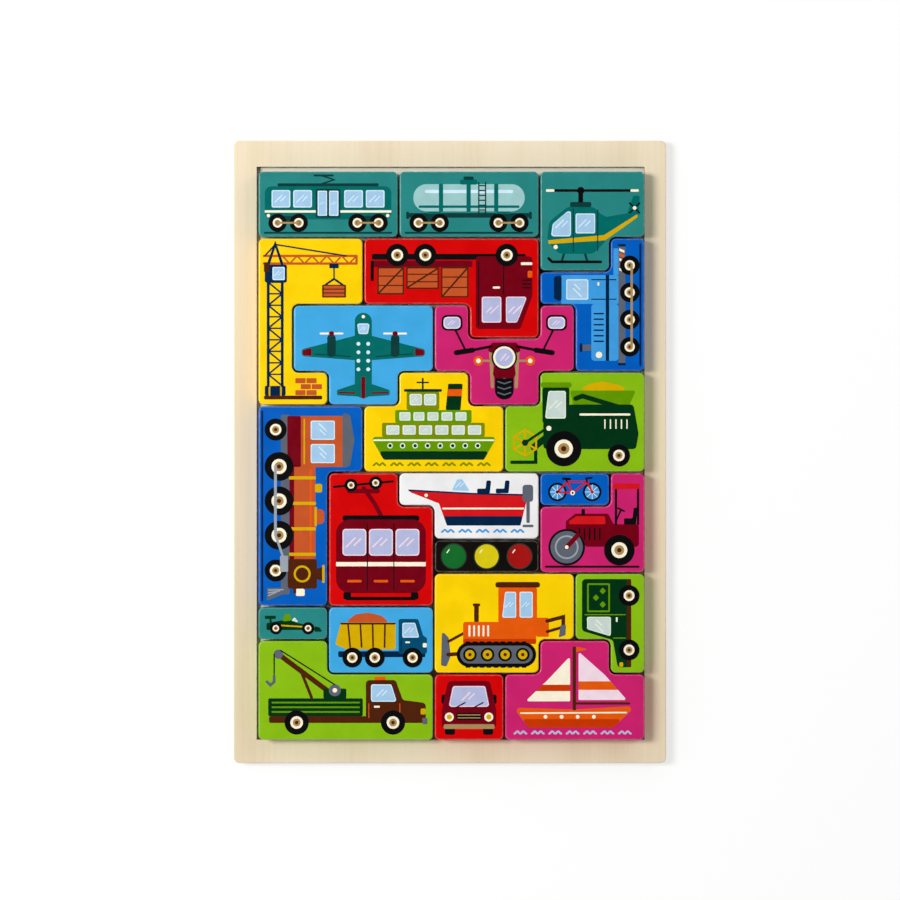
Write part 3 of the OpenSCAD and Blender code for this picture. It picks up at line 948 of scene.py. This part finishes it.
art.box(slate, 59.8, 7.4, 1.6, 10.4, 0.5)
art.line(slate, 1.2, (58.6, 6), (62.6, 6))
art.disc(cream, 12.6, 20.4, 0.8)
art.print_on()

# Bicycle: the smallest wooden block in royal blue, two cells side by side.
# Its bicycle is printed in thin strokes from wheel to wheel.
art = Picture("bicycle", royal_blue_paint)
back_hub, front_hub = Vector((8, 6.2)), Vector((24.4, 6.2))
for hub in (back_hub, front_hub):
    art.rings(*hub, (tyre_black, 4.4), (sky_ink, 3.4))
    rim = arc(hub, 3.3, 0.0, 2 * math.pi, steps=8)
    for spoke in range(4):
        art.line(cream, 0.25, rim[spoke + 4], rim[spoke])
    art.disc(tyre_black, *hub, 0.7)
pedal, seat_lug, neck = (15.2, 5.8), (12.6, 11), (22, 11)
art.line(signal_red, 0.9, back_hub, seat_lug, pedal, back_hub)
art.line(signal_red, 0.9, seat_lug, neck, pedal)
art.line(signal_red, 0.9, neck, front_hub)
art.line(tyre_black, 0.7, seat_lug, (12.2, 12.2))
art.line(tyre_black, 1.1, (10.8, 12.5), (13.8, 12.3))
art.line(tyre_black, 0.8, neck, (21.6, 12.6), (24.2, 12.9))
art.rings(*pedal, (cream, 1.1), (tyre_black, 0.5))
art.print_on()

# Road roller: the lower wooden block in magenta at the right side, a bar with a tab on its upper right.
# Its printed roller drives to the left, with the heavy drum in front and the driver's roof in the tab.
art = Picture("road_roller", magenta_paint)
art.line(tyre_black, 1, (2.6, 2.6), (46.2, 2.6))
body = [(12, 17), (22, 12), (46.4, 12), (46.4, 22.6), (34.4, 22.6), (32, 27.6), (16.4, 27.6), (12, 24)]
art.fill(maroon, body, 1.6)
art.fill(signal_red, [(13.4, 22.6), (30.8, 22.6), (30.4, 26.4), (17, 26.4), (13.4, 24)], 0.8)
art.strokes(tyre_black, 0.7, (18.4, 15.4), (18.4, 20.6), count=5, step_u=2.4)
art.box(tyre_black, 19.4, 26.8, 1.6, 3, 0.3)
art.strokes(tyre_black, 1.1, (35.6, 22.6), (35.6, 39.4), count=2, step_u=10.4)
art.box(signal_red, 34.2, 39.2, 12.6, 2.6, 1)
art.fill(tyre_black, [(39.4, 22.4), (45, 22.4), (45.8, 30.4), (44, 30.4), (43.4, 25.4), (39.4, 25.4)], 0.6)
art.line(tyre_black, 0.8, (35.6, 24), (38, 29.4))
art.line(tyre_black, 0.8, (36.6, 30.2), (39.4, 28.8))
drum = (12.4, 11.8)
art.rings(*drum, (tyre_black, 8.6), (slate, 7.6), (pale_slate, 5.6), (slate, 4.8), (tyre_black, 1.2))
art.line(maroon, 2.2, drum, (17.6, 17.4))
art.disc(cream, *drum, 0.9)
art.wheel(37.2, 10.4, 7.2)
art.print_on()

# Traffic light: a wooden block in black, three cells in a row, with the three lamps of any road signal.
# Each lamp is printed as a ring, a coloured glass and a small highlight.
black_paint = spray("black", "0f0b07")
signal_green = ink("signal_green", "14692a")
signal_yellow = ink("signal_yellow", "d8c814")
lamp_red = ink("lamp_red", "a31413")
lit_edge = ink("lit_edge", "2b3330")
art = Picture("traffic_light", black_paint)
for lamp_u, lamp in ((9, signal_green), (24.5, signal_yellow), (40, lamp_red)):
    art.rings(lamp_u, 7.5, (lit_edge, 6.2), (lamp, 5.6))
    art.line(cream, 0.5, (lamp_u - 3.2, 9.2), (lamp_u - 2.2, 10.6))
art.print_on()

# Bulldozer: a wooden block in yellow below the traffic light, a bar with its lower right cell missing.
# Its printed bulldozer stands on its track, the blade on the left and a ripper over the missing cell.
burnt_orange = ink("burnt_orange", "c83700")
art = Picture("bulldozer", yellow_paint)
art.fill(slate, [(3, 3.4), (5.6, 3), (7.6, 8), (6.6, 16.6), (3.4, 20)], 0.8)
art.line(brown, 1.8, (6.4, 8.6), (20, 9.6))
art.line(brown, 1.3, (6.6, 14.8), (15.4, 19.6))
art.box(bright_orange, 13.4, 13.6, 34.4, 10.4, 1.2)
art.box(burnt_orange, 13.4, 13.6, 34.4, 2.4, 0.6)
art.strokes(cream, 0.9, (16.4, 17.6), (16.4, 22), count=5, step_u=2.2)
art.box(brown, 18.6, 24, 2.2, 8, 0.5)
art.box(brown, 18, 31.4, 3.4, 1.3, 0.4)
art.box(bright_orange, 30, 23, 18.2, 17.6, 1.4)
art.pane(blue_pane, [(31.8, 26), (38.4, 26), (38.4, 38.2), (33.2, 38.2)], 0.8)
art.window(blue_pane, 40, 26, 6.2, 12.2)
art.box(brown, 28.6, 40.2, 21, 2.6, 1.1)
art.box(bright_orange, 47.8, 17, 6, 9, 0.8)
art.line(brown, 1.7, (53, 24.4), (60.6, 26.4), (60.6, 20.4))
art.line(brown, 1.3, (53, 19.4), (60.6, 21.6))
art.fill(slate, [(59.4, 22.6), (61.8, 22.6), (61.6, 17.8), (58.4, 16.6)], 0.4)
art.box(tyre_black, 10.4, 2.8, 37.4, 11.6, 5.8)
art.box(slate, 12, 4.4, 34.2, 8.4, 4.2)
for shoe in range(9):
    for shoe_v in (2.4, 13.6):
        art.box(tyre_black, 14.6 + 3.3 * shoe, shoe_v, 2.2, 1.2, 0.3)
for roller in range(4):
    art.rings(16.6 + 8.3 * roller, 8.6, (tyre_black, 3.2), (ochre, 2.2), (brown, 0.8))
art.print_on()

# Delivery van: a wooden block in lime green at the right side, three cells with two more beside them.
# The print lies on its side: a dark green van with its bonnet in the single cell.
art = Picture("delivery_van", lime_paint, quarter_turns=1)
art.fill(deep_green, [(2.6, 6.2), (2.6, 12.6), (15.4, 14.8), (19.8, 29.4), (44.2, 29.4), (44.2, 6.2)], 1.8)
art.pane(sage_pane, [(17.2, 15.8), (26.4, 15.8), (26.4, 27), (20.6, 27)], 0.8)
art.box(leaf, 28.6, 16.2, 13.6, 10.8, 0.6)
art.box(deep_green, 29.4, 17, 12, 9.2, 0.5)
lozenge = ((-1.6, 0), (0, 1.5), (1.6, 0), (0, -1.5))
for leaf_u, leaf_v in ((32.2, 19.6), (35.4, 22.8), (38.6, 19.6)):
    art.fill(leaf, [(leaf_u + u, leaf_v + v) for u, v in lozenge], 0.4)
art.box(brown, 2.6, 6.2, 41.6, 2, 0.6)
art.line(leaf, 0.5, (27.4, 9), (27.4, 28))
art.line(leaf, 0.5, (16.4, 9), (16.4, 14.6))
art.box(cream, 24, 12.6, 2.2, 0.8, 0.3)
art.box(ochre, 2.8, 10, 2.2, 1.8, 0.5)
for wheel_u in (10.8, 36.4):
    art.wheel(wheel_u, 7.2, 4.9)
art.print_on()

# Racer: a small wooden block in teal at the left side, two cells side by side.
# Its printed racing car is low and long, with a wing at the back.
art = Picture("racer", teal_paint)
art.box(deep_green, 3, 9.6, 5.2, 1.5, 0.4)
art.line(deep_green, 0.9, (6, 6.6), (5.6, 9.8))
body = [(3.8, 4.4), (3.8, 7.6), (10.4, 8.8), (14.6, 9.2), (19, 7.6), (28.8, 5.6), (29.6, 4.4)]
art.fill(deep_green, body, 0.6)
art.fill(leaf, [(11.2, 8.4), (12.4, 11.9), (15.2, 11.9), (15.2, 8.8)], 0.7)
art.line(ochre, 0.7, (9.8, 6.6), (26, 5.6))
art.pane(sage_pane, [(15.6, 8.8), (19, 7.9), (17, 10.4)], 0.3)
art.box(deep_green, 26.4, 3.6, 3.4, 0.9, 0.3)
for wheel_u in (8.2, 23.4):
    art.wheel(wheel_u, 5.2, 2.9)
art.print_on()

# Dump truck: a wooden block in sky blue near the foot, three cells by two.
# Its printed truck has a dark blue cab and an ochre tipper body with a load in it.
dark_blue = ink("dark_blue", "004b6e")
art = Picture("dump_truck", sky_blue_paint)
art.fill(rust, [(6.4, 23), (12.6, 27.6), (18.6, 28.4), (24.6, 27), (29.4, 23)], 1.6)
art.box(navy, 4.4, 7.4, 41, 2.8, 0.6)
art.fill(ochre, [(3, 13.4), (5.6, 23.8), (31.4, 23.8), (31.4, 11), (8.4, 11)], 0.8)
for rib in range(4):
    art.line(brown, 0.8, (10 + 5.4 * rib, 12.2), (9 + 5.8 * rib, 22.8))
art.line(brown, 0.9, (5.8, 23.2), (31, 23.2))
art.fill(dark_blue, [(32.8, 9), (32.8, 25.4), (42, 25.4), (44.4, 17.6), (46.2, 16.4), (46.2, 9)], 1)
art.pane(blue_pane, [(34.6, 16.6), (42.6, 16.6), (40.6, 23.6), (34.6, 23.6)], 0.7)
art.line(navy, 0.5, (34, 10), (34, 15.6))
art.box(cream, 44.2, 12, 1.9, 2, 0.5)
art.box(cream, 36, 14, 2.2, 0.8, 0.3)
for wheel_u in (11, 21.6, 39.4):
    art.wheel(wheel_u, 7.2, 4.7)
art.print_on()

# Tow truck: a wooden block in lime green in the foot's left corner, a long bar with a tab at its left.
# Its printed truck drives to the right, with a boom and hook that rise into the tab.
art = Picture("tow_truck", lime_paint)
art.box(brown, 5, 8, 73.6, 3.2, 0.8)
art.box(deep_green, 4.6, 11.2, 44.6, 8.4, 0.8)
art.strokes(leaf, 0.8, (6.6, 13.2), (47.4, 13.2), count=3, step_v=2.2)
art.line(brown, 2.4, (36, 20.6), (9.4, 40.4))
art.line(brown, 1.4, (25, 20), (20.4, 31.6))
art.box(deep_green, 30.6, 19.4, 10.8, 4.8, 0.8)
art.rings(36, 23.4, (slate, 2.8), (cream, 1.1))
art.disc(slate, 9.4, 40.4, 2.2)
art.line(tyre_black, 0.6, (36, 26), (10.4, 42.2))
art.line(tyre_black, 0.6, (7.4, 40.4), (7.4, 30))
art.line(slate, 1.3, (7.4, 30), (7.4, 27.4), (5.6, 25.8), (4, 27.4))
art.fill(brown, [(50.6, 9), (50.6, 28.2), (64.6, 28.2), (68, 18.8), (78.8, 17.4), (78.8, 9)], 1.8)
art.pane(blue_pane, [(53, 18), (65.2, 18), (62.6, 26.2), (53, 26.2)], 1)
art.box(bright_orange, 54.6, 28.2, 5.4, 1.6, 0.6)
art.strokes(rust, 0.5, (52, 10.6), (52, 17), count=2, step_u=14.6)
art.box(cream, 54.4, 15.2, 2.8, 0.9, 0.3)
art.box(ochre, 76.4, 12, 2.4, 2.8, 0.6)
art.box(slate, 77.2, 7.4, 2.4, 3, 0.5)
for wheel_u in (18, 63.4):
    art.wheel(wheel_u, 8.2, 5.7)
art.print_on()

# Van front: a wooden block in red at the foot, two cells by two.
# The printed van comes straight at the viewer, with its wipers, grille and lamps.
art = Picture("van_front", red_paint)
for tyre_u in (4.8, 22.8):
    art.box(tyre_black, tyre_u, 2.4, 4.8, 6.4, 1)
for side_u in (3.2, 26.2):
    art.box(tyre_black, side_u, 17, 3, 4.4, 0.9)
art.fill(maroon, [(3.4, 5.4), (3.4, 14), (6.4, 27.8), (26, 27.8), (29, 14), (29, 5.4)], 2)
art.pane(lilac_pane, [(6.6, 15.6), (25.8, 15.6), (23.8, 25.4), (8.6, 25.4)], 1.2)
art.box(tyre_black, 10.2, 9.4, 12, 3.4, 0.8)
art.strokes(tan, 0.5, (11, 10.4), (21.4, 10.4), count=2, step_v=1.4)
for lamp_u in (6.9, 25.5):
    art.rings(lamp_u, 10.8, (cream, 2.1), (ochre, 1.2))
art.box(tan, 4.2, 5.2, 24, 2.2, 0.8)
art.strokes(tyre_black, 0.6, (9.6, 15), (14.4, 17.6), count=2, step_u=8.4)
art.print_on()

# Sailing boat: a wooden block in magenta in the foot's right corner, a bar with a wide tab on top.
# Its printed boat has an orange hull in the bar and two sails that rise into the tab.
art = Picture("sailing_boat", magenta_paint)
art.waves(lilac_glass, 4.4, 61.2, 3)
art.fill(bright_orange, [(4, 15.2), (11, 5.8), (51, 5.8), (61.6, 16), (33, 14.4)], 1.4)
art.fill(burnt_orange, [(8, 9.8), (11, 5.8), (51, 5.8), (55.1, 9.8)], 0.8)
art.line(cream, 0.7, (7.4, 12.6), (57, 12.9))
art.box(brown, 31.8, 14, 1.6, 30, 0.5)
art.line(brown, 1.1, (32.6, 17.2), (58.4, 17.2))
art.fill(lilac_shine, [(34.6, 41.6), (34.6, 18.8), (57.4, 18.8), (47, 30.6)], 0.6)
art.fill(bright_orange, [(34.6, 27.6), (34.6, 23.6), (53.2, 23.6), (49.6, 27.6)])
art.fill(cream, [(30.6, 39.4), (30.6, 18.2), (9.6, 18.2), (20.4, 28.6)], 0.6)
art.fill(burnt_orange, [(30.6, 26), (30.6, 23), (14.6, 23), (17.7, 26)])
art.fill(bright_orange, [(33.4, 44), (33.4, 41.4), (39.4, 42.7)], 0.3)
for port in range(4):
    art.disc(cream, 19 + 7.6 * port, 10.9, 0.9)
art.print_on()
